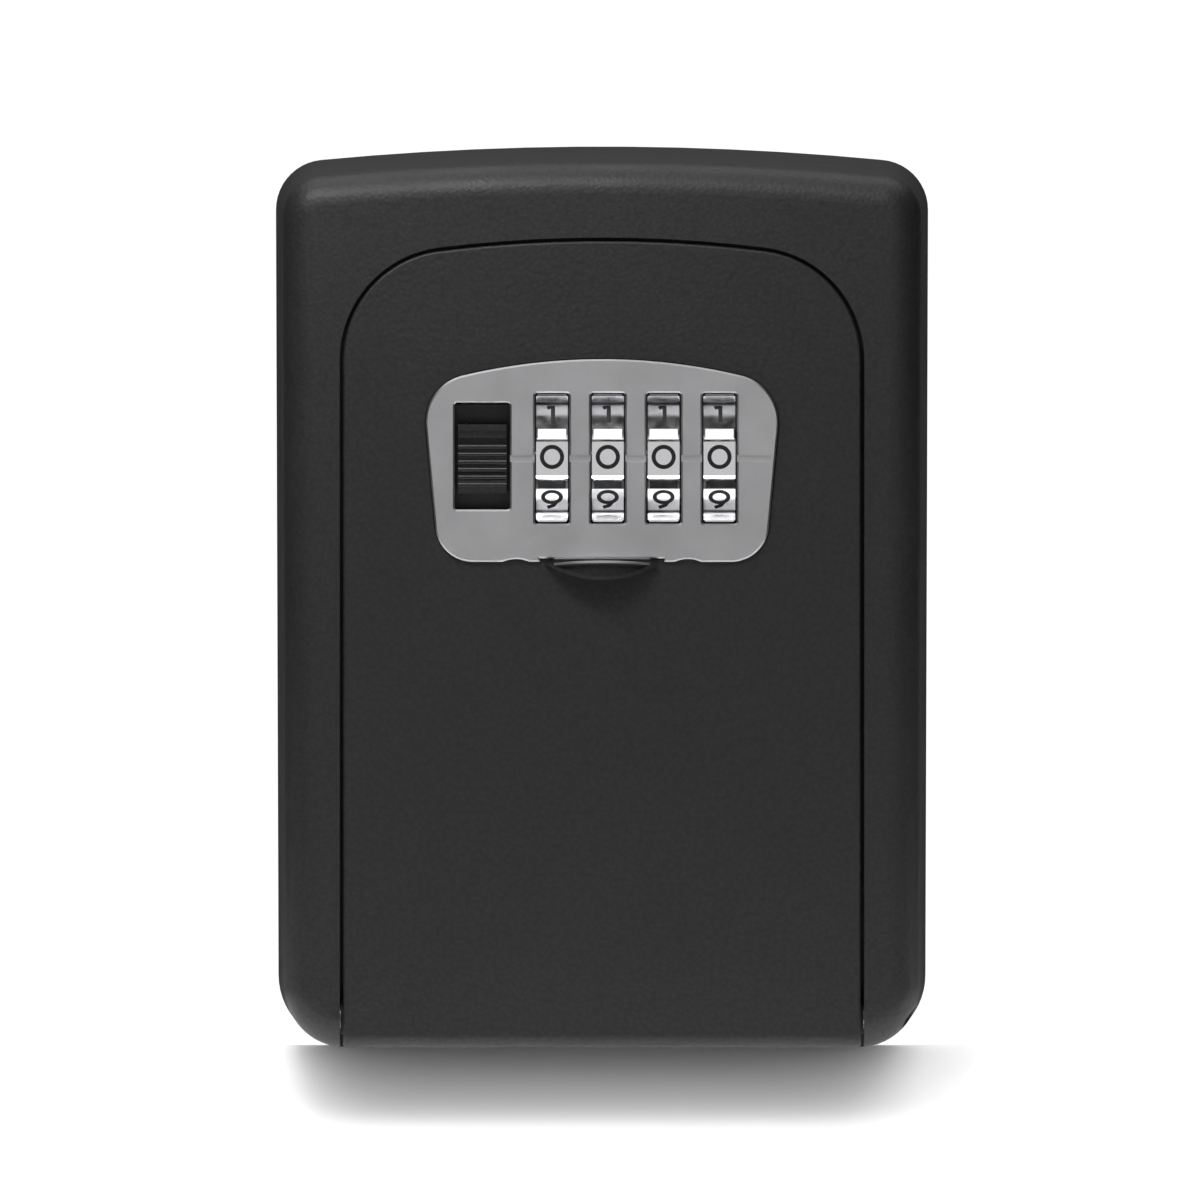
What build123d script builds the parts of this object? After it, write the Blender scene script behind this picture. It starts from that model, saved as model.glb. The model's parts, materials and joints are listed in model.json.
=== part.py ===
from build123d import *
import math
import os

# Wall-mounted key lock box with a bottom-hinged door and a four-wheel combination lock.
# Millimetres. The origin is the centre of the back face, +Z is up, the front faces -Y
# and +X is to the right as seen from the front.

# ---- Housing ----
WIDTH = 85.0
HEIGHT = 117.0
DEPTH = 40.0
DRAFT = 2.0                 # degrees, the casting narrows towards the front
FOOT_TAPER = 0.35           # each side leans in by this much from top to bottom
CROWN_R = 385.0             # radius of the arched top edge
TOP_CORNER_R = 6.5
FOOT_CORNER_R = 9.0
FRONT_FILLET = 4.0
BACK_WALL = 3.0
FRONT_Y = -DEPTH

# ---- Door ----
DOOR_HALF = 33.4
DOOR_TOP = 47.05
DOOR_BOTTOM = -57.1
DOOR_CROWN_R = 170.8
DOOR_CORNER_R = 14.2
DOOR_GAP = 0.45
DOOR_PLATE = 3.4
DOOR_BACK_Y = FRONT_Y + DOOR_PLATE
DOOR_EDGE_R = 0.35
DOOR_TOE_R = 1.6            # rounded lower front corner, which is also the opening stop
LEDGE = 2.75                # how far the closing ledge reaches in past the door opening
LEDGE_Y = DOOR_BACK_Y + 0.1
RIM_INSET = 3.3
RIM_WALL = 1.8
RIM_Y = -31.0
CAVITY_BOTTOM = -54.4
CAVITY_CORNER_R = 3.0
CORING_X = (33.7, 39.4)        # side coring pockets, each side
CORING_Z = ((-46.0, -18.5), (-15.5, 12.0), (15.0, 40.0))
CORING_TOP_X = (11.5, 32.5)    # top coring pockets, each side
CORING_TOP_Z = (47.6, 54.2)
CORING_CORNER_R = 1.5

# ---- Door hinge ----
PIVOT_Y = -36.25
PIVOT_Z = -53.35
PIN_R = 1.5
PIN_CLEARANCE = 0.05
KNUCKLE_R = 3.6
KNUCKLE_RELIEF_R = 2.4
KNUCKLE_RELIEF_HALF = 20.0
HUB_R = 2.2                 # small hub that fills the side gap around the pin
HUB_GAP = 0.1
SILL_Y = -32.2              # front edge of the housing's bottom wall
PIN_X0 = -38.0
PIN_X1 = 38.6
PIN_CHAMFER = 0.3

# ---- Wall screws ----
WALL_HOLE_R = 2.6
WALL_HOLE_SPACING_X = 36.0
WALL_HOLE_SPACING_Z = 64.0
COUNTERSINK_R = 4.9

# ---- Dial ----
DIAL_Z = 19.0
DIAL_Y = -31.9
WHEEL_COUNT = 4
WHEEL_PITCH = 7.2
WHEEL_X = [-6.45 + WHEEL_PITCH * i for i in range(WHEEL_COUNT)]
WHEEL_HALF = 2.05           # half of a wheel's width
WHEEL_FACET = 9.35          # axis to the flat digit face
WHEEL_BORE_R = 3.25
DIGITS = 10
FACET_HALF_ANGLE = 13.2
RIB_R = 10.6                # crest of the raised grip rib between two digits
RIB_HALF_ANGLE = 4.0
RIB_BEVEL = 0.18
WHEEL_ROOM_R = RIB_R + 0.25
WHEEL_WINDOW = (4.5, 16.9)
OPENER_X = -15.45
OPENER_Z = 19.3
OPENER_WINDOW = (7.16, 13.8)
OPENER_SIDE_GAP = 0.45
PAD_Z = (14.5, 23.4)        # thumb pad with the opener down
PAD_SUNK = 0.5              # pad's face behind the bezel's
PAD_LIP = 0.8
DISH_R = 12.0
DISH_DEPTH = 0.4
RIDGE_COUNT = 6
RIDGE_Z = 15.6
RIDGE_PITCH = 0.98
RIDGE_R = 0.32
FLANGE_Z = (11.6, 25.8)
STEM_HALF = 3.0
OPENER_SCREW_R = 1.0

# ---- Bezel ----
BEZEL_TOP = 31.8
BEZEL_BOTTOM = 5.65
BEZEL_HALF_TOP = 23.2
BEZEL_HALF_BOTTOM = 21.1
BEZEL_CROWN_R = 77.4
BEZEL_SHOULDER_R = 6.2
BEZEL_FOOT_R = 4.9
BEZEL_PROUD = 0.6
BEZEL_EDGE = 0.22           # bevel round the plate and its windows
BEZEL_FIT = 0.15            # gap round the plate in its seat
WINDOW_CORNER_R = 0.35
BEZEL_BACK_Y = FRONT_Y + 0.9
BEZEL_FRONT_Y = FRONT_Y - BEZEL_PROUD
BEZEL_LAP = 2.0             # how far the bezel overlaps the door opening
INDEX_GROOVE = (0.9, 0.3)   # height and depth
INDEX_GROOVE_END = 21.8
PEG_R = 0.6
PEG_END_Y = -36.2
PEGS = [(-20.0, 24.0), (-17.0, 9.4), (19.2, 24.4), (18.4, 10.4)]   # (x, z)

# ---- Pull lip ----
LIP_HALF = 7.3
LIP_REACH = 3.3
LIP_TOP = 5.85
LIP_DROP = 2.45
LIP_END_DROP = 0.5          # how much lower the lip's ends sit than the middle of its top
LIP_SCOOP_R = 1.5
LIP_RIM = 0.45              # rim around the lip's dished front
LIP_DISH = 0.5
LIP_TRIM = 0.25             # thickness of the bezel's folded edge on top of the lip
LIP_TRIM_HALF = 6.2
LIP_WEB = 0.35              # thickness of the web behind it, set back in the gap
LIP_TRIM_STEP = 0.02        # how far its edge sits behind the lip's nose
LIP_TRIM_FIT = 0.03
FOOT_NOTCH_HALF = 8.0       # bezel foot: a wide notch over the lip
FOOT_NOTCH_RISE = 0.45
FOOT_WAVE_X = 11.1          # and a shallow hollow on each side of it
FOOT_WAVE_HALF = 1.7
FOOT_WAVE_RISE = 0.36

# ---- Lock case ----
CASE_X0 = -24.0
CASE_X1 = 27.5
CASE_Z0 = 4.4
CASE_Z1 = 34.0
CASE_BACK_Y = -18.0
CASE_WALL = 1.6
CASE_CORNER_R = 1.5
WHEEL_SLOT_HALF_HEIGHT = 9.8
DIVIDER_BACK_Y = -28.5      # walls between the wheels reach back to here
COVER_WALL = 1.5
NOSE_GAP = 0.2
WEB_LEFT = (-11.0, -9.6)
WEB_RIGHT = (20.3, 21.8)
WEB_BACK_Y = -22.3
CAM_ROOM_R = 6.4
SLOT_HALF = 2.45            # half width of the slot that each wheel turns in
EAR_X = (-18.0, 20.0)
EAR_R = 2.4
EAR_OUT = 2.4
EAR_Y = (-33.6, -31.8)
CASE_SCREW_R = 1.25
POST_R = 1.9
POST_INSET = 3.3
COVER_SCREW_R = 1.0

# ---- Shaft, cams and code-change lever ----
SHAFT_R = 1.5
SHAFT_END_R = 1.2
CLIP_GROOVE_R = 1.0
CLIP_THICK = 0.4
SHAFT_X0 = -11.4
SHAFT_STEP_X = 23.2
SHAFT_X1 = 25.7
CAM_R = 6.0
CAM_THICK = 1.0
CAM_FACE = 3.55             # cam disc's near face, from its wheel's centre, with the lever at B
CAM_SLEEVE_R = 3.2
CAM_SLEEVE_START = -0.65
GATE_HALF = 1.2
GATE_R = 3.4
DOG_LENGTH = 1.2
DOG_HALF = 0.4
DOG_R = 4.3
SPLINE_HALF = 0.6
SPLINE_R = 4.5
SPLINE_DEPTH = 1.4
CHANGE_SHIFT = 1.2          # shaft travel between lever positions B and A

# ---- Latch ----
LATCH_Y = (-20.9, -19.4)
LATCH_X = (-18.3, 19.85)
LATCH_Z = (13.4, 27.7)
FENCE_X = (2.45, 4.75)      # fence finger, from its wheel's centre
FENCE_TIP_Y = -32.9
FENCE_BOTTOM = 6.3          # underside of the finger above the dial axis
TOOTH_TIP = 3.75
TOOTH_THICK = 2.0
TONGUE_HALF = 6.8
TONGUE_Y = (-33.9, -32.4)
TONGUE_TOP = 44.0
SHELF_Z = (35.5, 37.0)
STRIKE_POCKET = (8.6, 3.3, 3.0)   # half width, depth along Y, height above the cavity top
SPRING_X = (-3.0, 11.5)
SPRING_R = 1.45
SPRING_WIRE_R = 0.22
SPRING_TURNS = 5

# ---- Wheel detent ----
DETENT_SCREW_X = (WHEEL_X[0] + WHEEL_PITCH / 2, WHEEL_X[2] + WHEEL_PITCH / 2)
DETENT_SCREW_Y = -25.5
DETENT_SCREW_R = 0.8
DETENT_THICK = 0.3
DETENT_LEAF_Y = (-27.5, -23.6)
DETENT_FINGER_HALF = 1.5
DETENT_CREST_GAP = 0.06
DETENT_HEAD = (1.5, 0.7)    # screw head radius and height


# ---------------------------------------------------------------- helpers
def block(x0, x1, y0, y1, z0, z1):
    """Box between the given limits."""
    size = (x1 - x0, y1 - y0, z1 - z0)
    return Pos((x0 + x1) / 2, (y0 + y1) / 2, (z0 + z1) / 2) * Box(*size)


def rod_x(y, z, radius, x0, x1):
    """Cylinder along X."""
    return Pos((x0 + x1) / 2, y, z) * Rot(0, 90, 0) * Cylinder(radius, x1 - x0)


def rod_y(x, z, radius, y0, y1):
    """Cylinder along Y."""
    return Pos(x, (y0 + y1) / 2, z) * Rot(90, 0, 0) * Cylinder(radius, y1 - y0)


def slab(outline, y_back, y_front):
    """Front-view outline given thickness from y_back forward to y_front."""
    return extrude(Plane.XZ.offset(-y_back) * outline, amount=y_back - y_front)


def side_slab(points, x0, x1):
    """Side-view polygon of (y, z) points given thickness along X."""
    face = Plane.YZ.offset(x0) * make_face(Polyline(*points, close=True))
    return extrude(face, amount=x1 - x0)


def arch(half, bottom, top, crown, corner, foot=0.0, foot_half=None):
    """Upright panel outline with a gently arched top and rounded corners."""
    foot_half = half if foot_half is None else foot_half
    spring = top - crown + math.sqrt(crown**2 - half**2)
    edges = [
        Line((-foot_half, bottom), (foot_half, bottom)),
        Line((foot_half, bottom), (half, spring)),
        ThreePointArc((half, spring), (0, top), (-half, spring)),
        Line((-half, spring), (-foot_half, bottom)),
    ]
    face = make_face(Curve() + edges)
    face = fillet(face.vertices().group_by(Axis.Y)[-1], corner)
    if foot:
        face = fillet(face.vertices().group_by(Axis.Y)[0], foot)
    return face


def door_arch(inset):
    """The door's outline, moved in by inset, running off below the box."""
    return arch(
        DOOR_HALF - inset,
        -HEIGHT,
        DOOR_TOP - inset,
        DOOR_CROWN_R - inset,
        DOOR_CORNER_R - inset,
    )


def cross_recess(x, z, y_head, size, depth):
    """Cross-shaped driver recess that opens towards +Y."""
    bar = size / 5
    arms = block(x - size / 2, x + size / 2, y_head - depth, y_head + 1, z - bar / 2, z + bar / 2)
    return arms + block(x - bar / 2, x + bar / 2, y_head - depth, y_head + 1, z - size / 2, z + size / 2)


def pan_screw(x, z, y_seat, shank_r, length, head_r, head_height):
    """Pan-head screw driven towards -Y, its head resting on y_seat."""
    shank = rod_y(x, z, shank_r, y_seat - length, y_seat)
    head = rod_y(x, z, head_r, y_seat, y_seat + head_height)
    head = fillet(head.edges().group_by(Axis.Y)[-1], head_height * 0.45)
    return shank + head - cross_recess(x, z, y_seat + head_height, head_r * 1.3, head_height * 0.6)


# ---------------------------------------------------------------- housing
def housing():
    """Die-cast shell with the door recess, key cavity, strike pocket and wall-screw holes."""
    outline = arch(
        WIDTH / 2, -HEIGHT / 2, HEIGHT / 2, CROWN_R, TOP_CORNER_R, FOOT_CORNER_R, WIDTH / 2 - FOOT_TAPER
    )
    body = extrude(Plane.XZ * outline, amount=DEPTH, taper=DRAFT)
    body = fillet(body.faces().sort_by(Axis.Y)[0].edges(), FRONT_FILLET)
    body -= slab(door_arch(-DOOR_GAP), LEDGE_Y, FRONT_Y - 1)
    cavity_half = DOOR_HALF + DOOR_GAP - LEDGE
    cavity_top = DOOR_TOP + DOOR_GAP - LEDGE
    cavity = arch(
        cavity_half,
        CAVITY_BOTTOM,
        cavity_top,
        DOOR_CROWN_R + DOOR_GAP - LEDGE,
        DOOR_CORNER_R + DOOR_GAP - LEDGE,
        CAVITY_CORNER_R,
    )
    body -= slab(cavity, -BACK_WALL, LEDGE_Y - 1)
    opening_half = DOOR_HALF + DOOR_GAP
    knuckle_top = PIVOT_Z + KNUCKLE_R + 0.5
    body -= block(-opening_half, opening_half, FRONT_Y - 1, SILL_Y, -HEIGHT, knuckle_top)
    half, depth, rise = STRIKE_POCKET
    pocket_front = TONGUE_Y[0] - 0.6
    body -= block(-half, half, pocket_front, pocket_front + depth, cavity_top - 2, cavity_top + rise)
    body -= rod_x(PIVOT_Y, PIVOT_Z, PIN_R, PIN_X0, WIDTH)
    for x in (-WALL_HOLE_SPACING_X / 2, WALL_HOLE_SPACING_X / 2):
        for z in (-WALL_HOLE_SPACING_Z / 2, WALL_HOLE_SPACING_Z / 2):
            body -= rod_y(x, z, WALL_HOLE_R, -BACK_WALL - 1, 1)
            sink = COUNTERSINK_R - WALL_HOLE_R
            cone = Cone(WALL_HOLE_R, COUNTERSINK_R, sink)
            body -= Pos(x, -BACK_WALL + sink / 2, z) * Rot(90, 0, 0) * cone
    return body - coring_pockets()


def coring_pockets():
    """Pockets open to the back that keep the casting's side and top walls thin."""
    areas = [(CORING_X, heights) for heights in CORING_Z] + [(CORING_TOP_X, CORING_TOP_Z)]
    pockets = []
    for side in (-1, 1):
        for reach, heights in areas:
            x0, x1 = sorted(side * x for x in reach)
            pocket = block(x0, x1, RIM_Y, 1, *heights)
            pockets.append(fillet(pocket.edges().filter_by(Axis.Y), CORING_CORNER_R))
    return pockets


def hinge_pin():
    """Steel pin pushed in through the right-hand wall."""
    pin = rod_x(PIVOT_Y, PIVOT_Z, PIN_R, PIN_X0, PIN_X1)
    return chamfer(pin.edges().filter_by(GeomType.CIRCLE), PIN_CHAMFER)


# ---------------------------------------------------------------- door
def bezel_plain():
    """Front-view outline of the bezel with a straight foot: arched top, sides that draw in."""
    spring = BEZEL_TOP - BEZEL_CROWN_R + math.sqrt(BEZEL_CROWN_R**2 - BEZEL_HALF_TOP**2)
    foot = [
        (BEZEL_HALF_TOP, spring),
        (BEZEL_HALF_BOTTOM, BEZEL_BOTTOM),
        (-BEZEL_HALF_BOTTOM, BEZEL_BOTTOM),
        (-BEZEL_HALF_TOP, spring),
    ]
    crown = ThreePointArc((BEZEL_HALF_TOP, spring), (0, BEZEL_TOP), (-BEZEL_HALF_TOP, spring))
    face = make_face(Curve() + [crown] + [Line(a, b) for a, b in zip(foot, foot[1:])])
    face = fillet(face.vertices().group_by(Axis.Y)[-1], BEZEL_SHOULDER_R)
    ends = [v for v in face.vertices() if abs(abs(v.X) - BEZEL_HALF_BOTTOM) < 0.01]
    return fillet(ends, BEZEL_FOOT_R)


def bezel_outline():
    """The plain outline with the foot notched over the lip and hollowed beside it."""
    outline = bezel_plain() - Pos(0, BEZEL_BOTTOM) * Rectangle(2 * FOOT_NOTCH_HALF, 2 * FOOT_NOTCH_RISE)
    wave_r = (FOOT_WAVE_HALF**2 + FOOT_WAVE_RISE**2) / (2 * FOOT_WAVE_RISE)
    for side in (-1, 1):
        outline -= Pos(side * FOOT_WAVE_X, BEZEL_BOTTOM + FOOT_WAVE_RISE - wave_r) * Circle(wave_r)
    return outline


def bezel_inset(amount):
    """The bezel's plain outline moved in by amount."""
    return offset(bezel_plain(), -amount)


def lip_arc(half, z_ends, z_middle):
    """Shallow arc across the lip, seen from the front."""
    return ThreePointArc((-half, z_ends), (0, z_middle), (half, z_ends))


def lip_plan(reach):
    """Upright prism with the lip's plan: straight at the door, bowed out by reach in front."""
    root_y = FRONT_Y - 0.5
    nose = ThreePointArc((-LIP_HALF, root_y), (0, FRONT_Y - reach), (LIP_HALF, root_y))
    corners = [(LIP_HALF, root_y), (LIP_HALF, FRONT_Y + 1), (-LIP_HALF, FRONT_Y + 1), (-LIP_HALF, root_y)]
    plan = make_face(Curve() + [nose] + Polyline(*corners).edges())
    return Pos(0, 0, LIP_TOP - LIP_DROP - 1) * extrude(plan, amount=LIP_DROP + 2)


def pull_lip():
    """Eyelid-shaped finger lip below the bezel, dished in front and hollowed underneath."""
    ends = LIP_TOP - LIP_END_DROP
    lids = [lip_arc(LIP_HALF, ends, LIP_TOP - LIP_DROP), lip_arc(LIP_HALF, ends, LIP_TOP)]
    eyelid = make_face(Curve() + lids)
    lip = slab(eyelid, FRONT_Y + 1, FRONT_Y - LIP_REACH - 1) & lip_plan(LIP_REACH)
    dish = slab(offset(eyelid, -LIP_RIM), FRONT_Y + 1, FRONT_Y - LIP_REACH - 1)
    lip -= dish - lip_plan(LIP_REACH - LIP_DISH)
    return lip - rod_x(FRONT_Y - 0.9, LIP_TOP - LIP_DROP - 0.55, LIP_SCOOP_R, -LIP_HALF, LIP_HALF)


def lip_trim(spare):
    """The bezel's lower edge folded out over the lip; spare is the fit's clearance below it."""
    half = LIP_TRIM_HALF + spare
    ends = LIP_TOP - LIP_END_DROP * (LIP_TRIM_HALF / LIP_HALF) ** 2
    low_ends, low_middle = ends - LIP_TRIM - spare, LIP_TOP - LIP_TRIM - spare
    sides = [Line((side * half, low_ends), (side * half, ends)) for side in (-1, 1)]
    band = make_face(Curve() + [lip_arc(half, ends, LIP_TOP), lip_arc(half, low_ends, low_middle)] + sides)
    trim = slab(band, BEZEL_BACK_Y, FRONT_Y - LIP_REACH - 1) & lip_plan(LIP_REACH - LIP_TRIM_STEP + spare)
    web_top = BEZEL_BOTTOM + FOOT_NOTCH_RISE + 0.3
    web_front = BEZEL_BACK_Y - LIP_WEB - spare
    return trim + block(-half, half, web_front, BEZEL_BACK_Y, low_ends, web_top)


def door_panel():
    """Cast door with its rim, hinge knuckle, pull lip, bezel seat and screw bosses."""
    plate = slab(door_arch(0), DOOR_BACK_Y, FRONT_Y)
    plate &= block(-WIDTH, WIDTH, FRONT_Y - 1, 0, DOOR_BOTTOM, HEIGHT)
    toe = plate.edges().filter_by(Axis.X).group_by(Axis.Z)[0].sort_by(Axis.Y)[0]
    plate = fillet(toe, DOOR_TOE_R)
    rim_edges = [e for e in plate.faces().sort_by(Axis.Y)[0].edges() if e.center().Z > DOOR_BOTTOM + 5]
    plate = fillet(rim_edges, DOOR_EDGE_R)
    rim = slab(door_arch(RIM_INSET), RIM_Y, DOOR_BACK_Y)
    rim -= slab(door_arch(RIM_INSET + RIM_WALL), RIM_Y + 1, DOOR_BACK_Y - 1)
    rim &= block(-WIDTH, WIDTH, FRONT_Y, 0, PIVOT_Z, HEIGHT)
    notch = STRIKE_POCKET[0]
    rim -= block(-notch, notch, DOOR_BACK_Y, 0, DOOR_TOP - RIM_INSET - 8, HEIGHT)
    door = plate + rim + rod_x(PIVOT_Y, PIVOT_Z, KNUCKLE_R, -DOOR_HALF, DOOR_HALF) + pull_lip()
    hub_end = DOOR_HALF + DOOR_GAP - HUB_GAP
    door += rod_x(PIVOT_Y, PIVOT_Z, HUB_R, -hub_end, hub_end)
    for x in EAR_X:
        for z in (CASE_Z0 - EAR_OUT, CASE_Z1 + EAR_OUT):
            door += rod_y(x, z, EAR_R, DOOR_BACK_Y - 0.5, EAR_Y[0])
    door -= slab(offset(bezel_outline(), BEZEL_FIT), BEZEL_BACK_Y, FRONT_Y - 1) - pull_lip()
    door -= lip_trim(LIP_TRIM_FIT)
    door -= slab(bezel_inset(BEZEL_LAP), RIM_Y, FRONT_Y)
    for x in WHEEL_X:
        door -= rod_x(DIAL_Y, DIAL_Z, WHEEL_ROOM_R, x - SLOT_HALF, x + SLOT_HALF)
    for x in EAR_X:
        for z in (CASE_Z0 - EAR_OUT, CASE_Z1 + EAR_OUT):
            door -= rod_y(x, z, CASE_SCREW_R, FRONT_Y + 1.5, RIM_Y)
    door -= rod_x(PIVOT_Y, PIVOT_Z, PIN_R + PIN_CLEARANCE, -WIDTH, WIDTH)
    relief = KNUCKLE_RELIEF_HALF
    door -= rod_x(PIVOT_Y, PIVOT_Z, KNUCKLE_RELIEF_R, -relief, relief)
    door -= block(
        -relief, relief, PIVOT_Y, RIM_Y, PIVOT_Z - KNUCKLE_RELIEF_R, PIVOT_Z + KNUCKLE_RELIEF_R
    )
    return door


def dial_bezel():
    """Satin faceplate with the wheel windows, the opener window and the index groove."""
    plate = slab(bezel_outline(), BEZEL_BACK_Y, BEZEL_FRONT_Y)
    wide, tall = OPENER_WINDOW
    windows = [(OPENER_X, OPENER_Z, wide, tall)]
    windows += [(x, DIAL_Z, WHEEL_WINDOW[0], WHEEL_WINDOW[1]) for x in WHEEL_X]
    for x, z, width, height in windows:
        hole = Pos(x, z) * RectangleRounded(width, height, WINDOW_CORNER_R)
        plate -= slab(hole, BEZEL_BACK_Y + 1, BEZEL_FRONT_Y - 1)
    plate = chamfer(plate.faces().sort_by(Axis.Y)[0].edges(), BEZEL_EDGE)
    plate += lip_trim(0)
    groove_height, groove_depth = INDEX_GROOVE
    groove = block(
        OPENER_X,
        INDEX_GROOVE_END,
        BEZEL_FRONT_Y - 1,
        BEZEL_FRONT_Y + groove_depth,
        DIAL_Z - groove_height / 2,
        DIAL_Z + groove_height / 2,
    )
    plate -= groove
    for x, z in PEGS:
        plate += rod_y(x, z, PEG_R, BEZEL_BACK_Y - 0.5, PEG_END_Y)
    return plate


# ---------------------------------------------------------------- lock case
def case_corners(inset):
    """Centres of the four posts that take the cover screws."""
    return [
        (x, z)
        for x in (CASE_X0 + inset, CASE_X1 - inset)
        for z in (CASE_Z0 + inset, CASE_Z1 - inset)
    ]


def lock_case():
    """Moulded carrier behind the bezel that holds the wheels, shaft, latch and springs."""
    front_inner = DOOR_BACK_Y + CASE_WALL
    case = block(CASE_X0, CASE_X1, DOOR_BACK_Y, CASE_BACK_Y, CASE_Z0, CASE_Z1)
    case = fillet(case.edges().filter_by(Axis.Y), CASE_CORNER_R)
    wall = CASE_WALL
    case -= block(CASE_X0 + wall, CASE_X1 - wall, front_inner, 0, CASE_Z0 + wall, CASE_Z1 - wall)
    case += slab(bezel_inset(BEZEL_LAP + NOSE_GAP), front_inner, BEZEL_BACK_Y)
    for x, z in case_corners(POST_INSET):
        case += rod_y(x, z, POST_R, front_inner, CASE_BACK_Y)
    for x0, x1 in (WEB_LEFT, WEB_RIGHT):
        case += block(x0, x1, front_inner, WEB_BACK_Y, CASE_Z0 + wall, CASE_Z1 - wall)
    for x in WHEEL_X:
        left, right = x + SLOT_HALF, x + WHEEL_PITCH - SLOT_HALF
        case += block(left, right, front_inner, DIVIDER_BACK_Y, CASE_Z0 + wall, DIAL_Z - 4)
    case -= rod_x(DIAL_Y, DIAL_Z, CAM_ROOM_R, WEB_LEFT[1], WEB_RIGHT[0])
    case -= rod_x(DIAL_Y, DIAL_Z, SHAFT_R + PIN_CLEARANCE, WEB_LEFT[0] - 1, WEB_RIGHT[1] + 1)
    slot_z = (DIAL_Z - WHEEL_SLOT_HALF_HEIGHT, DIAL_Z + WHEEL_SLOT_HALF_HEIGHT)
    for x in WHEEL_X:
        case -= block(x - SLOT_HALF, x + SLOT_HALF, FRONT_Y, front_inner + 1, *slot_z)
        case -= rod_x(DIAL_Y, DIAL_Z, WHEEL_ROOM_R, x - SLOT_HALF, x + SLOT_HALF)
    wide, tall = OPENER_WINDOW
    case -= block(
        OPENER_X - wide / 2 - 0.2,
        OPENER_X + wide / 2 + 0.2,
        FRONT_Y,
        front_inner + 0.5,
        OPENER_Z - tall / 2 - 0.3,
        OPENER_Z + tall / 2 + 0.3,
    )
    for x, z in PEGS:
        case -= rod_y(x, z, PEG_R + 0.05, FRONT_Y, front_inner + 1)
    for x in EAR_X:
        for z_wall, z_ear in ((CASE_Z0, CASE_Z0 - EAR_OUT), (CASE_Z1, CASE_Z1 + EAR_OUT)):
            low, high = sorted((z_wall, z_ear))
            ear = block(x - EAR_R, x + EAR_R, EAR_Y[0], EAR_Y[1], low, high)
            case += ear + rod_y(x, z_ear, EAR_R, EAR_Y[0], EAR_Y[1])
            case -= rod_y(x, z_ear, CASE_SCREW_R + 0.15, EAR_Y[0] - 1, EAR_Y[1] + 1)
    slot = TONGUE_HALF + 0.6
    case -= block(-slot, slot, LATCH_Y[0] - 0.4, LATCH_Y[1] + 0.4, CASE_Z1 - wall - 1, CASE_Z1 + 1)
    for x, z in case_corners(POST_INSET):
        case -= rod_y(x, z, COVER_SCREW_R, CASE_BACK_Y - 7, CASE_BACK_Y + 1)
    for x in DETENT_SCREW_X:
        case -= Pos(x, DETENT_SCREW_Y, CASE_Z0 + wall) * Cylinder(DETENT_SCREW_R, 2)
    for x in SPRING_X:
        seat = CASE_Z0 + wall
        case += Pos(x, spring_y(), seat + 0.8) * Cylinder(0.95, 1.6)
    return case


def lock_cover():
    """Rear cover of the lock, with the code-change slot marked by raised pads at its ends."""
    back = CASE_BACK_Y + COVER_WALL
    cover = block(CASE_X0, CASE_X1, CASE_BACK_Y, back, CASE_Z0, CASE_Z1)
    cover = fillet(cover.edges().filter_by(Axis.Y), CASE_CORNER_R)
    cover = chamfer(cover.faces().sort_by(Axis.Y)[-1].edges(), 0.3)
    left, right = lever_arm()
    z0, z1 = lever_heights()
    cover -= block(left - CHANGE_SHIFT - 0.3, right + 0.3, CASE_BACK_Y - 1, back + 1, z0 - 0.3, z1 + 0.3)
    for x, z in case_corners(POST_INSET):
        cover -= rod_y(x, z, COVER_SCREW_R + 0.15, CASE_BACK_Y - 1, back + 1)
    recess = block(CASE_X0 + 7, 17.0, back - 0.5, back + 1, CASE_Z0 + 6, CASE_Z1 - 6)
    return cover - fillet(recess.edges().filter_by(Axis.Y), 2.0)


def cover_screws():
    """Four small screws that hold the cover."""
    seat = CASE_BACK_Y + COVER_WALL
    return [pan_screw(x, z, seat, COVER_SCREW_R, 7.5, 1.8, 1.1) for x, z in case_corners(POST_INSET)]


def case_screws():
    """Four screws that hold the lock case to the door's bosses."""
    places = [(x, z) for x in EAR_X for z in (CASE_Z0 - EAR_OUT, CASE_Z1 + EAR_OUT)]
    return [pan_screw(x, z, EAR_Y[1], CASE_SCREW_R, 6.3, 2.3, 1.5) for x, z in places]


def detent_spring():
    """Leaf spring under the wheels, with one finger that clicks between each wheel's ribs."""
    floor = CASE_Z0 + CASE_WALL
    top = floor + DETENT_THICK
    leaf_front, leaf_back = DETENT_LEAF_Y
    y, z = polar(WHEEL_FACET + DETENT_CREST_GAP, -3 * 360 / DIGITS)
    above = [(leaf_front + 1, top), (leaf_front - 0.2, top), (y + 0.15, z), (y - 0.15, z)]
    curl = [(y - 1.2, z - 1.8), (y - 0.95, z - 1.95)]
    below = [(y - 0.05, z - 0.45), (y, z - 0.45), (leaf_front - 0.45, floor)]
    spring = block(WHEEL_X[0] - 2, WHEEL_X[-1] + 2, leaf_front, leaf_back, floor, top)
    for x in WHEEL_X:
        finger = above + curl + below + [(leaf_front + 1, floor)]
        spring += side_slab(finger, x - DETENT_FINGER_HALF, x + DETENT_FINGER_HALF)
    for x in DETENT_SCREW_X:
        spring -= Pos(x, DETENT_SCREW_Y, floor) * Cylinder(DETENT_SCREW_R, 4)
    return spring


def detent_screws():
    """Two rivet-like screws that hold the detent spring to the case floor."""
    floor = CASE_Z0 + CASE_WALL
    head_r, head_height = DETENT_HEAD
    screws = []
    seat = floor + DETENT_THICK
    for x in DETENT_SCREW_X:
        head = Pos(x, DETENT_SCREW_Y, seat + head_height / 2) * Cylinder(head_r, head_height)
        shank = Pos(x, DETENT_SCREW_Y, seat - 0.6) * Cylinder(DETENT_SCREW_R, 1.2)
        screws.append(head + shank)
    return screws


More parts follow.
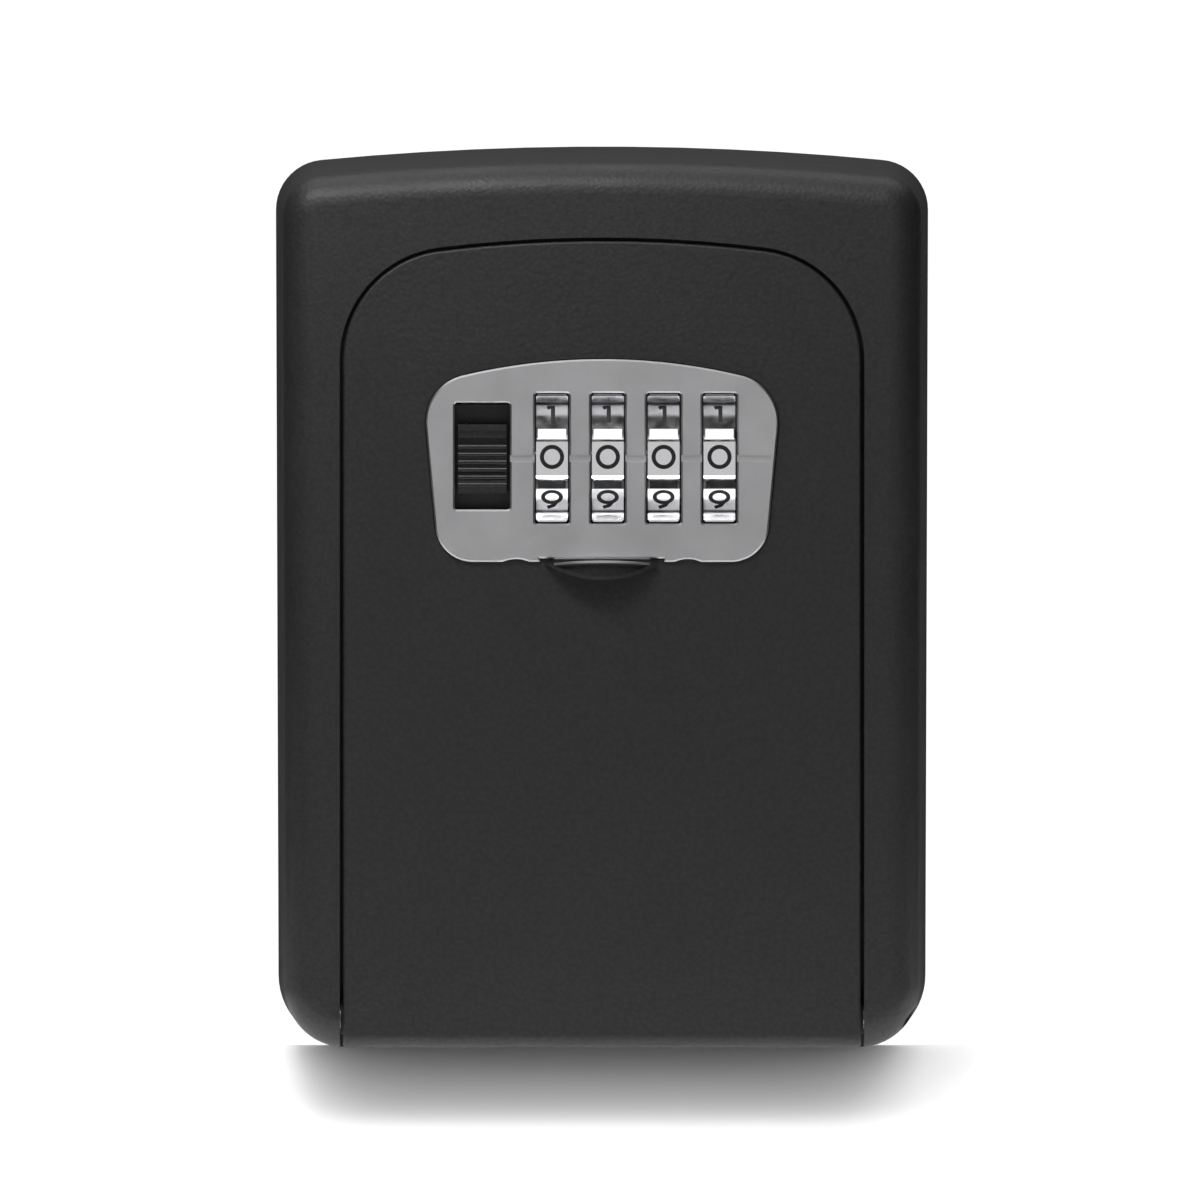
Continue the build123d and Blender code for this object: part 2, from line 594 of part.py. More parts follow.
# ---------------------------------------------------------------- wheels and cams
def polar(radius, angle):
    """(y, z) of a point about the dial axis; 0 degrees faces the front, angles go up."""
    turn = math.radians(angle)
    return (DIAL_Y - radius * math.cos(turn), DIAL_Z + radius * math.sin(turn))


def dial_wheel(x):
    """Ten-faced number wheel with a raised grip rib between its faces and splines inside."""
    step = 360 / DIGITS
    corner_r = WHEEL_FACET / math.cos(math.radians(FACET_HALF_ANGLE))
    bevel_angle = math.degrees(RIB_BEVEL / RIB_R)
    outline = []
    for digit in range(DIGITS):
        middle = digit * step
        rib = middle + step / 2
        outline.append(polar(corner_r, middle - FACET_HALF_ANGLE))
        outline.append(polar(corner_r, middle + FACET_HALF_ANGLE))
        outline.append(polar(RIB_R - RIB_BEVEL, rib - RIB_HALF_ANGLE))
        outline.append(polar(RIB_R, rib - RIB_HALF_ANGLE + bevel_angle))
        outline.append(polar(RIB_R, rib + RIB_HALF_ANGLE - bevel_angle))
        outline.append(polar(RIB_R - RIB_BEVEL, rib + RIB_HALF_ANGLE))
    wheel = side_slab(outline, x - WHEEL_HALF, x + WHEEL_HALF)
    turned = rod_x(DIAL_Y, DIAL_Z, RIB_R + 0.05, x - WHEEL_HALF, x + WHEEL_HALF)
    wheel &= chamfer(turned.edges().filter_by(GeomType.CIRCLE), 0.3)
    wheel -= rod_x(DIAL_Y, DIAL_Z, WHEEL_BORE_R, x - 5, x + 5)
    left, right = x + WHEEL_HALF - SPLINE_DEPTH, x + WHEEL_HALF + 1
    splines = block(left, right, DIAL_Y, DIAL_Y + SPLINE_R, DIAL_Z - SPLINE_HALF, DIAL_Z + SPLINE_HALF)
    axis = Axis((0, DIAL_Y, DIAL_Z), (1, 0, 0))
    for digit in range(DIGITS):
        wheel -= splines.rotate(axis, digit * step)
    recess = rod_x(DIAL_Y, DIAL_Z, 7.0, x - WHEEL_HALF - 1, x - WHEEL_HALF + 0.5)
    return wheel - (recess - rod_x(DIAL_Y, DIAL_Z, 4.8, x - 5, x + 5))


def code_cam(x):
    """Gated disc on a sleeve, with a dog that locks into its wheel's splines."""
    face = x + CAM_FACE
    cam = rod_x(DIAL_Y, DIAL_Z, CAM_R, face, face + CAM_THICK)
    cam += rod_x(DIAL_Y, DIAL_Z, CAM_SLEEVE_R, x + CAM_SLEEVE_START, face)
    dog = block(
        face - DOG_LENGTH, face, DIAL_Y, DIAL_Y + DOG_R, DIAL_Z - DOG_HALF, DIAL_Z + DOG_HALF
    )
    cam += dog
    cam -= block(
        face - 0.3, face + 5, DIAL_Y - GATE_HALF, DIAL_Y + GATE_HALF, DIAL_Z + GATE_R, DIAL_Z + 10
    )
    return cam - rod_x(DIAL_Y, DIAL_Z, SHAFT_R + 0.02, x - 5, x + 7)


def clip_places():
    """X of each clip's left face: one on each side of every cam, and one outside the lever."""
    places = []
    for x in WHEEL_X:
        places += [x + CAM_SLEEVE_START - CLIP_THICK, x + CAM_FACE + CAM_THICK]
    return places + [lever_arm()[1]]


def wheel_shaft():
    """Steel shaft with clip grooves and a stepped end for the lever."""
    shaft = rod_x(DIAL_Y, DIAL_Z, SHAFT_R, SHAFT_X0, SHAFT_STEP_X)
    shaft += rod_x(DIAL_Y, DIAL_Z, SHAFT_END_R, SHAFT_STEP_X, SHAFT_X1)
    for x in clip_places():
        ring = rod_x(DIAL_Y, DIAL_Z, SHAFT_R + 1, x, x + CLIP_THICK)
        shaft -= ring - rod_x(DIAL_Y, DIAL_Z, CLIP_GROOVE_R, x, x + CLIP_THICK)
    return shaft


def shaft_clips():
    """Nine open retaining clips."""
    clips = []
    for x in clip_places():
        clip = rod_x(DIAL_Y, DIAL_Z, 2.6, x, x + CLIP_THICK)
        clip -= rod_x(DIAL_Y, DIAL_Z, CLIP_GROOVE_R, x - 1, x + 1)
        mouth = block(x - 1, x + 1, DIAL_Y, DIAL_Y + 5, DIAL_Z - 0.85, DIAL_Z + 0.85)
        clips.append(clip - mouth)
    return clips


def lever_arm():
    """Left and right faces of the code-change lever's arm."""
    return (SHAFT_STEP_X, SHAFT_STEP_X + 1.8)


def lever_heights():
    """Lower and upper faces of the code-change lever's arm."""
    return (DIAL_Z - 1.5, DIAL_Z + 1.5)


def reset_lever():
    """Code-change lever: a hub on the shaft's end and an arm out through the cover's slot."""
    left, right = lever_arm()
    z0, z1 = lever_heights()
    arm_end = CASE_BACK_Y + COVER_WALL + 0.4
    lever = rod_x(DIAL_Y, DIAL_Z, 2.6, left, right) + block(left, right, DIAL_Y, arm_end, z0, z1)
    lever -= rod_x(DIAL_Y, DIAL_Z, SHAFT_END_R, left - 1, right + 1)
    knob = block(left - 0.8, right + 0.8, arm_end, arm_end + 2.2, z0 - 1.2, z1 + 1.2)
    knob = fillet(knob.edges().filter_by(Axis.Y), 0.6)
    knob = fillet(knob.faces().sort_by(Axis.Y)[-1].edges(), 0.4)
    return lever + knob


# ---------------------------------------------------------------- latch and opener
def spring_y():
    """Y of the latch springs, centred under the latch plate."""
    return (LATCH_Y[0] + LATCH_Y[1]) / 2


def latch_plate():
    """Bent steel latch: fence fingers for the cams, and a tongue that catches the housing."""
    y0, y1 = LATCH_Y
    plate = block(LATCH_X[0], LATCH_X[1], y0, y1, LATCH_Z[0], LATCH_Z[1])
    plate += block(-TONGUE_HALF, TONGUE_HALF, y0, y1, LATCH_Z[1], SHELF_Z[1])
    plate += block(-TONGUE_HALF, TONGUE_HALF, TONGUE_Y[0], y1, SHELF_Z[0], SHELF_Z[1])
    tongue = block(-TONGUE_HALF, TONGUE_HALF, TONGUE_Y[0], TONGUE_Y[1], SHELF_Z[0], TONGUE_TOP)
    plate += fillet(tongue.edges().filter_by(Axis.Y).group_by(Axis.Z)[-1], 2.5)
    for x in WHEEL_X:
        left, right = x + FENCE_X[0], x + FENCE_X[1]
        plate += block(left, right, FENCE_TIP_Y, y0, DIAL_Z + FENCE_BOTTOM, LATCH_Z[1])
        plate += block(left, right, FENCE_TIP_Y, FENCE_TIP_Y + TOOTH_THICK, DIAL_Z + TOOTH_TIP, LATCH_Z[1])
    plate -= rod_y(OPENER_X, DIAL_Z, OPENER_SCREW_R, y0 - 1, y1 + 1)
    for x in SPRING_X:
        plate += Pos(x, spring_y(), LATCH_Z[0] - 0.5) * Cylinder(0.7, 1.0)
    return plate


def opener_button():
    """Black thumb slide with a ribbed pad, a dust flange and a stem to the latch."""
    half = OPENER_WINDOW[0] / 2 - OPENER_SIDE_GAP
    left, right = OPENER_X - half, OPENER_X + half
    low, high = PAD_Z
    pad_y = BEZEL_FRONT_Y + PAD_SUNK
    flange_y = DOOR_BACK_Y + CASE_WALL + 0.2
    button = block(left, right, pad_y, flange_y, low, high)
    button -= rod_x(pad_y - DISH_R + DISH_DEPTH, (low + high) / 2 - 0.35, DISH_R, left - 1, right + 1)
    button += block(left, right, pad_y - 0.5, pad_y + 1, high - PAD_LIP, high)
    for i in range(RIDGE_COUNT):
        button += rod_x(pad_y + 0.15, RIDGE_Z + RIDGE_PITCH * i, RIDGE_R, left, right)
    button += block(left - 1.5, right + 1.2, flange_y, flange_y + 1, *FLANGE_Z)
    stem = STEM_HALF
    button += block(OPENER_X - 2.2, OPENER_X + 2.2, flange_y, LATCH_Y[0], DIAL_Z - stem, DIAL_Z + stem)
    return button - rod_y(OPENER_X, DIAL_Z, OPENER_SCREW_R, LATCH_Y[0] - 6, LATCH_Y[0] + 1)


def opener_screw():
    """Screw that joins the latch plate to the opener's stem."""
    return pan_screw(OPENER_X, DIAL_Z, LATCH_Y[1], OPENER_SCREW_R, 7.0, 2.0, 1.2)


def latch_springs():
    """Two compression springs that lift the latch."""
    low = CASE_Z0 + CASE_WALL + SPRING_WIRE_R
    high = LATCH_Z[0] - SPRING_WIRE_R
    springs = []
    for x in SPRING_X:
        path = Helix(pitch=(high - low) / SPRING_TURNS, height=high - low, radius=SPRING_R - SPRING_WIRE_R)
        wire = sweep(Plane(path @ 0, z_dir=path % 0) * Circle(SPRING_WIRE_R), path=path)
        springs.append(Pos(x, spring_y(), low) * wire)
    return springs


# ---------------------------------------------------------------- output
def solids_of(shape):
    """All solids of one node, whether it was made as one shape or as a list."""
    shapes = shape if isinstance(shape, list) else [shape]
    return [solid for item in shapes for solid in item.solids()]


def write(name, shape):
    """Write one node's STEP file."""
    solids = solids_of(shape)
    export_step(solids[0] if len(solids) == 1 else Compound(solids), f"parts/{name}.step")


def main():
    """Build every node."""
    os.makedirs("parts", exist_ok=True)
    nodes = {
        "housing": housing(),
        "hinge_pin": hinge_pin(),
        "door_panel": door_panel(),
        "dial_bezel": dial_bezel(),
        "lock_case": lock_case(),
        "lock_cover": lock_cover(),
        "cover_screws": cover_screws(),
        "case_screws": case_screws(),
        "detent_spring": detent_spring(),
        "detent_screws": detent_screws(),
        "wheel_shaft": wheel_shaft(),
        "shaft_clips": shaft_clips(),
        "reset_lever": reset_lever(),
        "latch_plate": latch_plate(),
        "opener_button": opener_button(),
        "opener_screw": opener_screw(),
        "latch_springs": latch_springs(),
    }
    for i, x in enumerate(WHEEL_X, start=1):
        nodes[f"dial_wheel_{i}"] = dial_wheel(x)
        nodes[f"code_cam_{i}"] = code_cam(x)
    for name, shape in nodes.items():
        write(name, shape)


main()
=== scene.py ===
import json
import math

import bmesh
import bpy
from mathutils import Matrix, Vector


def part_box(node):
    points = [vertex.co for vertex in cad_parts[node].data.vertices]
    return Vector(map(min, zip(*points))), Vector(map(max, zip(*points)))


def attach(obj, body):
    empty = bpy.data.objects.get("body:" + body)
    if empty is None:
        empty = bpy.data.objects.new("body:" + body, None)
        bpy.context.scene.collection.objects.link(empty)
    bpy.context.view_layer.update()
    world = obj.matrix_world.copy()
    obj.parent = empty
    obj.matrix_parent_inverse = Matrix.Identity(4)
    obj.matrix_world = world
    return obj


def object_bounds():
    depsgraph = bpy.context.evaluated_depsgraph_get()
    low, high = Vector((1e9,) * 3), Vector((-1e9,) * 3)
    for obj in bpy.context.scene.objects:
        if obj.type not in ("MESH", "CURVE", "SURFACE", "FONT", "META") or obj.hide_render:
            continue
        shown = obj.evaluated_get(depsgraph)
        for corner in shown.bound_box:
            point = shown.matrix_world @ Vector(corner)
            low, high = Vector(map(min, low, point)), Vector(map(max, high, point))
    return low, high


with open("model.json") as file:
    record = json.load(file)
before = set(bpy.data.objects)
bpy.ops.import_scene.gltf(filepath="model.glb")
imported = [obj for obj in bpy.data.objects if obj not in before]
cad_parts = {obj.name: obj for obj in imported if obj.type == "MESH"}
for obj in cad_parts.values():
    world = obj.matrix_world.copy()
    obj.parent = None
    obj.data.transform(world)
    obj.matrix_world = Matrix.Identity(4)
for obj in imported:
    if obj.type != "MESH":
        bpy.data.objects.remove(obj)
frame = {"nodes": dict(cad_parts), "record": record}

cad_low, cad_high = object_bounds()

MM = 0.001

# ---- View ----
VIEW_ELEVATION = math.radians(1.9)
VIEW_DISTANCE = 4.0
VIEW_WIDTH = 156.4 * MM         # what the frame spans at the back face
AIM = Vector((-0.26 * MM, 0, -0.61 * MM))
SENSOR_WIDTH = 36               # millimetres
CLIP_NEAR, CLIP_FAR = 0.1, 20

# ---- Surroundings ----
BACKDROP = 1.05                 # what the camera sees behind the box
AHEAD = 0.78                    # band in front of the box, at its own height
AHEAD_ABOVE = 0.12              # share of it that is left higher up
SIDES = 0.015
BEHIND = 0.11

# ---- Lamps: place, target, size, energy ----
LAMPS = {
    "overhead": ((0, 0.3, 1.6), (0, -0.03, 0), (2.4, 1.3), 17),
    "front_top": ((0, -1.05, 0.95), (0, -0.05, 0), (1.4, 0.65), 3.6),
    "key": ((-0.05, -0.14, 0.15), (0, -0.04, 0.02), (0.14, 0.04), 0.2),
    "floor_wash": ((0, -1.2, 0.5), (0, -0.03, -0.06), (2.0, 1.2), 30),
    "floor_fill": ((0, -1.0, 0.0), (0, -0.03, -0.06), (1.6, 0.3), 5),
}
BOARD_LAMPS = ("floor_wash", "floor_fill")      # these light the board alone

# ---- Floor ----
FLOOR_GAP = 0.15 * MM
FLOOR_SLOPE = math.radians(17)
FLOOR_HALF = 0.2
FLOOR_FRONT = -0.13

# ---- Dial ----
WHEELS = 4
DIGITS = 10
FACET_RADIUS = 9.35 * MM
DIGIT_WIDE = 1.3                # half width and half height of a digit, millimetres
DIGIT_TALL = 1.3
DIGIT_BOWL = 0.62               # middles of the two bowls of a 3, above and below
DIGIT_HALF_STROKE = 0.27 * MM
DIGIT_RISE = 0.22 * MM          # digits sit a little above the middle of their faces
DIGIT_HEIGHT = 0.02 * MM
CROWN_STEPS = 4                 # flats over the rounded top of a stroke
SAME_POINT = 1e-6


# ---------------------------------------------------------------- materials
class Finish:
    """A Principled material whose textures use object coordinates in millimetres."""

    def __init__(self, name, color, metallic, roughness, **sockets):
        self.material = bpy.data.materials.new(name)
        self.material.use_nodes = True
        self.tree = self.material.node_tree
        self.shader = self.tree.nodes["Principled BSDF"]
        self.set(self.shader, "Base Color", (*color, 1))
        self.set(self.shader, "Metallic", metallic)
        self.set(self.shader, "Roughness", roughness)
        for socket, value in sockets.items():
            self.set(self.shader, socket.replace("_", " "), value)
        coords = self.add("ShaderNodeTexCoord")
        scale = self.add("ShaderNodeVectorMath", operation="SCALE")
        self.set(scale, "Scale", 1 / MM)
        self.link(coords.outputs["Object"], scale.inputs[0])
        self.mm = scale.outputs[0]

    def add(self, kind, **props):
        node = self.tree.nodes.new(kind)
        for key, value in props.items():
            setattr(node, key, value)
        return node

    def set(self, node, socket, value):
        node.inputs[socket].default_value = value

    def link(self, out, into):
        self.tree.links.new(out, into)

    def stretched(self, factors):
        """Coordinates squeezed along some axes, for brushed or drawn grain."""
        node = self.add("ShaderNodeVectorMath", operation="MULTIPLY")
        self.link(self.mm, node.inputs[0])
        node.inputs[1].default_value = factors
        return node.outputs[0]

    def noise(self, size, detail=2.0, roughness=0.5, coords=None):
        """Noise whose blobs are about size millimetres across."""
        node = self.add("ShaderNodeTexNoise")
        self.link(coords or self.mm, node.inputs["Vector"])
        self.set(node, "Scale", 1 / size)
        self.set(node, "Detail", detail)
        self.set(node, "Roughness", roughness)
        return node.outputs["Fac"]

    def cells(self, size, smoothness=0.6):
        """Rounded cells about size millimetres across, 0 at their middles."""
        node = self.add("ShaderNodeTexVoronoi", feature="SMOOTH_F1")
        self.link(self.mm, node.inputs["Vector"])
        self.set(node, "Scale", 1 / size)
        self.set(node, "Smoothness", smoothness)
        return node.outputs["Distance"]

    def spread(self, value, low, high, a=0.3, b=0.7):
        """value, from a to b, mapped to low to high."""
        node = self.add("ShaderNodeMapRange")
        self.link(value, node.inputs["Value"])
        for socket, number in (("From Min", a), ("From Max", b), ("To Min", low), ("To Max", high)):
            self.set(node, socket, number)
        return node.outputs["Result"]

    def tint(self, factor, dark, light):
        """Base colour running from dark to light with factor."""
        node = self.add("ShaderNodeMix", data_type="RGBA")
        self.link(factor, node.inputs["Factor"])
        colors = [s for s in node.inputs if s.type == "RGBA"]
        colors[0].default_value = (*dark, 1)
        colors[1].default_value = (*light, 1)
        out = [s for s in node.outputs if s.type == "RGBA"][0]
        self.link(out, self.shader.inputs["Base Color"])

    def rough(self, value):
        self.link(value, self.shader.inputs["Roughness"])

    def bump(self, *layers):
        """layers are (height, depth in millimetres), coarse to fine."""
        normal = None
        for height, depth in layers:
            node = self.add("ShaderNodeBump")
            self.set(node, "Distance", depth * MM)
            self.link(height, node.inputs["Height"])
            if normal is not None:
                self.link(normal, node.inputs["Normal"])
            normal = node.outputs["Normal"]
        self.link(normal, self.shader.inputs["Normal"])


def shade(value):
    """Neutral grey."""
    return (value, value, value * 1.02)


def powder_coat(name, value, grain, depth):
    """Pebbled charcoal powder coat, with painted shade in the hollows between the pebbles and
    painted lighter pebble tops.
    """
    finish = Finish(name, shade(value), 0.0, 0.5, Specular_IOR_Level=0.4)
    pebbles = finish.cells(grain)
    fine = finish.noise(grain * 0.45, 3)
    patches = finish.noise(9.0, 2)
    # painted shade: the base colour follows the pebble bump, lighter on the raised pebble middles
    # and darker in the hollows between them
    finish.tint(finish.spread(pebbles, 0, 1, 0.1, 0.8), shade(value * 1.18), shade(value * 0.8))
    finish.rough(finish.spread(patches, 0.46, 0.56))
    finish.bump((pebbles, -depth), (fine, depth * 0.5))
    return finish.material


def satin_silver():
    """Fine satin plating of the bezel."""
    finish = Finish("satin_silver", shade(0.62), 1.0, 0.4)
    fine = finish.noise(0.25, 2)
    cloud = finish.noise(6.0, 3)
    finish.tint(finish.spread(cloud, 0, 1), shade(0.58), shade(0.66))
    finish.rough(finish.spread(fine, 0.36, 0.44))
    finish.bump((fine, 0.004))
    return finish.material


def wheel_chrome():
    """Bright plating of the number wheels, with faint turning marks and finger wear."""
    finish = Finish("wheel_chrome", shade(0.88), 1.0, 0.16)
    marks = finish.noise(0.3, 2, coords=finish.stretched((6.0, 1.0, 1.0)))
    wear = finish.noise(1.6, 3)
    finish.tint(finish.spread(wear, 0, 1), shade(0.76), shade(0.88))
    finish.rough(finish.spread(wear, 0.12, 0.22))
    finish.bump((marks, 0.003))
    return finish.material


def moulded(name, value, roughness, grain=0.18, depth=0.006):
    """Black moulded plastic with a fine spark-eroded texture."""
    finish = Finish(name, shade(value), 0.0, roughness)
    fine = finish.noise(grain, 3)
    cloud = finish.noise(4.0, 2)
    finish.tint(finish.spread(cloud, 0, 1), shade(value * 0.85), shade(value * 1.15))
    finish.rough(finish.spread(fine, roughness - 0.06, roughness + 0.08))
    finish.bump((fine, depth))
    return finish.material


def ink():
    """Black paint of the digits."""
    finish = Finish("digit_ink", shade(0.004), 0.0, 0.55)
    fine = finish.noise(0.12, 2)
    finish.tint(finish.spread(fine, 0, 1), shade(0.003), shade(0.008))
    finish.rough(finish.spread(fine, 0.5, 0.62))
    finish.bump((fine, 0.004))
    return finish.material


def steel(name, color, roughness, grain):
    """Plated or drawn steel, its grain along X."""
    finish = Finish(name, color, 1.0, roughness)
    drawn = finish.noise(grain, 2, coords=finish.stretched((0.08, 1.0, 1.0)))
    cloud = finish.noise(2.5, 3)
    dark = tuple(c * 0.85 for c in color)
    finish.tint(finish.spread(cloud, 0, 1), dark, color)
    finish.rough(finish.spread(drawn, roughness - 0.07, roughness + 0.09))
    finish.bump((drawn, 0.004))
    return finish.material


def pale_floor():
    """White board with the faintest mottling."""
    finish = Finish("pale_floor", shade(0.9), 0.0, 0.9)
    cloud = finish.noise(60.0, 2)
    finish.tint(finish.spread(cloud, 0, 1), (0.94, 0.94, 0.94), (0.96, 0.96, 0.96))
    return finish.material


FINISHES = {
    "powder_coat": powder_coat("powder_coat", 0.023, 0.5, 0.035),
    "door_coat": powder_coat("door_coat", 0.021, 0.62, 0.05),
    "satin_silver": satin_silver(),
    "wheel_chrome": wheel_chrome(),
    "black_plastic": moulded("black_plastic", 0.016, 0.5),
    "button_black": moulded("button_black", 0.012, 0.32, 0.3, 0.003),
    "steel": steel("steel", (0.55, 0.56, 0.57), 0.3, 0.12),
    "spring_steel": steel("spring_steel", (0.46, 0.46, 0.45), 0.26, 0.1),
    "zinc_steel": steel("zinc_steel", (0.52, 0.53, 0.5), 0.36, 0.2),
    "zinc_cover": moulded("zinc_cover", 0.035, 0.5, 0.3, 0.015),
    "cam_zinc": steel("cam_zinc", (0.25, 0.25, 0.26), 0.42, 0.15),
}


def finish_cad_nodes():
    """Every CAD node takes its slot's finish."""
    for part in frame["record"]["subparts"]:
        node = frame["nodes"][part["node"]]
        node.data.materials.clear()
        node.data.materials.append(FINISHES[part["material_slot"]])


# ---------------------------------------------------------------- digits
def arc(cx, cy, rx, ry, start, end, steps=18):
    """Points along an ellipse's arc; angles in degrees, 0 to the right, counterclockwise."""
    turns = [math.radians(start + (end - start) * i / steps) for i in range(steps + 1)]
    return [(cx + rx * math.cos(t), cy + ry * math.sin(t)) for t in turns]


def digit_strokes(digit):
    """Centre lines of one digit, in millimetres about its middle."""
    wide, tall, bowl = DIGIT_WIDE, DIGIT_TALL, DIGIT_BOWL
    strokes = {
        0: [arc(0, 0, wide, tall, 0, 360, 36)],
        1: [[(-0.62, 0.95), (-0.25, 1.1), (0.12, tall), (0.12, -tall)]],
        2: [arc(0, 0.5, 0.95, 0.8, 160, -30) + [(-1.0, -tall), (1.05, -tall)]],
        3: [arc(-0.05, bowl, 0.95, 0.68, 155, -80), arc(-0.05, -bowl, 1.05, 0.68, 80, -155)],
        4: [[(0.45, -tall), (0.45, tall), (-1.1, -0.45), (1.1, -0.45)]],
        5: [[(0.9, tall), (-0.75, tall), (-0.85, 0.25)] + arc(-0.05, -0.4, 1.05, 0.9, 130, -150)],
        6: [[(0.6, tall), (-0.2, 0.95)] + arc(0, -0.4, 1.15, 0.9, 120, 480, 30)],
        7: [[(-1.0, tall), (1.05, tall), (-0.35, -tall)]],
        8: [arc(0, 0.66, 0.9, 0.64, 0, 360, 30), arc(0, -0.62, 1.1, 0.68, 0, 360, 30)],
        9: [[(-0.6, -tall), (0.2, -0.95)] + arc(0, 0.4, 1.15, 0.9, -60, 300, 30)],
    }
    return strokes[digit]


def ribbon(bm, points, place):
    """A low, round-shouldered line of ink along points, put on its facet by place."""
    closed = (Vector(points[0]) - Vector(points[-1])).length < SAME_POINT
    if closed:
        points = points[:-1]
    count = len(points)
    rings = []
    for i, point in enumerate(points):
        before = points[i - 1] if closed or i else point
        after = points[(i + 1) % count] if closed or i < count - 1 else point
        along = (Vector(after) - Vector(before)).normalized()
        side = Vector((-along.y, along.x)) * DIGIT_HALF_STROKE
        middle = Vector(point) * MM
        outline = []
        for step in range(CROWN_STEPS + 1):
            turn = math.pi * step / CROWN_STEPS
            outline.append((middle + side * math.cos(turn), DIGIT_HEIGHT * math.sin(turn)))
        outline += [(middle - side, -DIGIT_HEIGHT), (middle + side, -DIGIT_HEIGHT)]
        rings.append([bm.verts.new(place @ Vector((at.x, at.y, rise))) for at, rise in outline])
    following = rings[1:] + rings[:1] if closed else rings[1:]
    for a, b in zip(rings, following):
        for j in range(len(a)):
            bm.faces.new((a[j - 1], a[j], b[j], b[j - 1]))
    if not closed:
        bm.faces.new(rings[0])
        bm.faces.new(list(reversed(rings[-1])))


def digits_for(wheel, finish):
    """All ten digits of one wheel as one piece that turns with it."""
    low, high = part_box(f"dial_wheel_{wheel}")
    middle = (low + high) / 2
    right = Vector((1, 0, 0))
    bm = bmesh.new()
    for digit in range(DIGITS):
        turn = 2 * math.pi * digit / DIGITS
        normal = Vector((0, -math.cos(turn), math.sin(turn)))
        up = Vector((0, math.sin(turn), math.cos(turn)))
        facet = Matrix.Translation(middle + normal * FACET_RADIUS + up * DIGIT_RISE)
        place = facet @ Matrix((right, up, normal)).transposed().to_4x4()
        for stroke in digit_strokes(digit):
            ribbon(bm, stroke, place)
    bmesh.ops.recalc_face_normals(bm, faces=bm.faces)
    mesh = bpy.data.meshes.new(f"digits_{wheel}")
    bm.to_mesh(mesh)
    bm.free()
    piece = bpy.data.objects.new(f"digits_{wheel}", mesh)
    bpy.context.scene.collection.objects.link(piece)
    mesh.materials.append(finish)
    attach(piece, f"wheel_{wheel}")


# ---------------------------------------------------------------- stage
def floor():
    """Pale board that falls gently away towards the camera from under the box's back edge."""
    level = cad_low.z - FLOOR_GAP
    front = level + FLOOR_FRONT * math.tan(FLOOR_SLOPE)
    bm = bmesh.new()
    back_left = bm.verts.new((-FLOOR_HALF, 0, level))
    back_right = bm.verts.new((FLOOR_HALF, 0, level))
    front_left = bm.verts.new((-FLOOR_HALF, FLOOR_FRONT, front))
    front_right = bm.verts.new((FLOOR_HALF, FLOOR_FRONT, front))
    bm.faces.new((back_left, back_right, front_right, front_left))
    mesh = bpy.data.meshes.new("floor")
    bm.to_mesh(mesh)
    bm.free()
    piece = bpy.data.objects.new("floor", mesh)
    bpy.context.scene.collection.objects.link(piece)
    mesh.materials.append(pale_floor())
    return piece


def softbox(name, place, target, size, energy):
    """Rectangular area light at place, facing target."""
    light = bpy.data.lights.new(name, "AREA")
    light.shape = "RECTANGLE"
    light.size, light.size_y = size
    light.energy = energy
    lamp = bpy.data.objects.new(name, light)
    lamp.location = place
    lamp.rotation_mode = "QUATERNION"
    lamp.rotation_quaternion = (Vector(target) - Vector(place)).to_track_quat("-Z", "Y")
    bpy.context.scene.collection.objects.link(lamp)
    return lamp


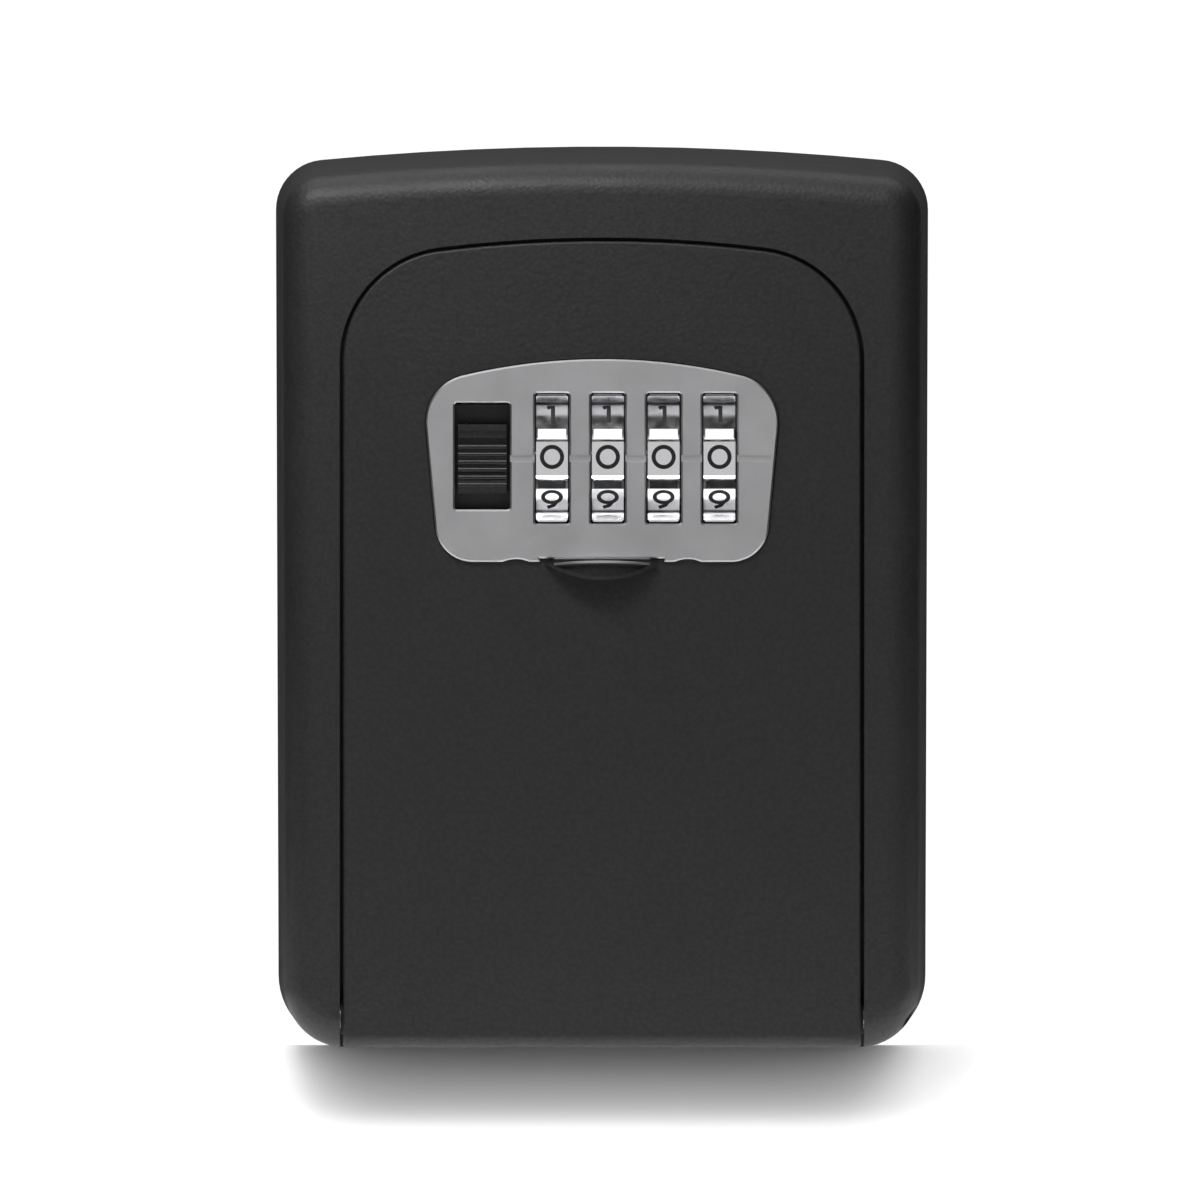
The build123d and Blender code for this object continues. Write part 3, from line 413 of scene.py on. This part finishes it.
def surroundings():
    """White backdrop for the camera; for everything else a pale band ahead, dim sides and back."""
    world = bpy.data.worlds.new("studio")
    bpy.context.scene.world = world
    world.use_nodes = True
    nodes, links = world.node_tree.nodes, world.node_tree.links
    shown, around = nodes["Background"], nodes.new("ShaderNodeBackground")
    shown.inputs["Color"].default_value = (1, 1, 1, 1)
    shown.inputs["Strength"].default_value = BACKDROP
    around.inputs["Color"].default_value = (1, 1, 1, 1)
    coords, axes = nodes.new("ShaderNodeTexCoord"), nodes.new("ShaderNodeSeparateXYZ")
    links.new(coords.outputs["Generated"], axes.inputs[0])

    def ramp(source, a, b, low, high):
        node = nodes.new("ShaderNodeMapRange")
        node.interpolation_type = "SMOOTHSTEP"
        links.new(source, node.inputs["Value"])
        for socket, number in (("From Min", a), ("From Max", b), ("To Min", low), ("To Max", high)):
            node.inputs[socket].default_value = number
        return node.outputs["Result"]

    def combine(operation, first, second):
        node = nodes.new("ShaderNodeMath")
        node.operation = operation
        links.new(first, node.inputs[0])
        links.new(second, node.inputs[1])
        return node.outputs[0]

    forward = ramp(axes.outputs["Y"], -0.95, -0.75, AHEAD, 0.0)
    below = ramp(axes.outputs["Z"], -0.34, -0.18, 0.0, 1.0)
    above = ramp(axes.outputs["Z"], -0.06, 0.12, 1.0, AHEAD_ABOVE)
    behind = ramp(axes.outputs["Y"], 0.55, 0.95, SIDES, BEHIND)
    ahead = combine("MULTIPLY", forward, combine("MULTIPLY", below, above))
    links.new(combine("ADD", ahead, behind), around.inputs["Strength"])
    path, mix = nodes.new("ShaderNodeLightPath"), nodes.new("ShaderNodeMixShader")
    links.new(path.outputs["Is Camera Ray"], mix.inputs["Fac"])
    links.new(around.outputs[0], mix.inputs[1])
    links.new(shown.outputs[0], mix.inputs[2])
    links.new(mix.outputs[0], nodes["World Output"].inputs["Surface"])


def lamps(board):
    """Softboxes above, high in front and close in front, and two that light the board alone."""
    washed = bpy.data.collections.new("washed")
    washed.objects.link(board)
    for name, setting in LAMPS.items():
        lamp = softbox(name, *setting)
        if name in BOARD_LAMPS:
            lamp.light_linking.receiver_collection = washed


def camera():
    """Long lens, a little above the box."""
    data = bpy.data.cameras.new("camera")
    data.sensor_width = SENSOR_WIDTH
    data.lens = SENSOR_WIDTH * VIEW_DISTANCE / VIEW_WIDTH
    data.clip_start, data.clip_end = CLIP_NEAR, CLIP_FAR
    eye = bpy.data.objects.new("camera", data)
    back = Vector((0, -math.cos(VIEW_ELEVATION), math.sin(VIEW_ELEVATION)))
    eye.location = AIM + back * VIEW_DISTANCE
    eye.rotation_mode = "QUATERNION"
    eye.rotation_quaternion = (-back).to_track_quat("-Z", "Y")
    bpy.context.scene.collection.objects.link(eye)
    bpy.context.scene.camera = eye


bpy.context.scene.view_settings.view_transform = "Standard"
camera()
finish_cad_nodes()
digit_ink = ink()
for number in range(1, WHEELS + 1):
    digits_for(number, digit_ink)
surroundings()
lamps(floor())
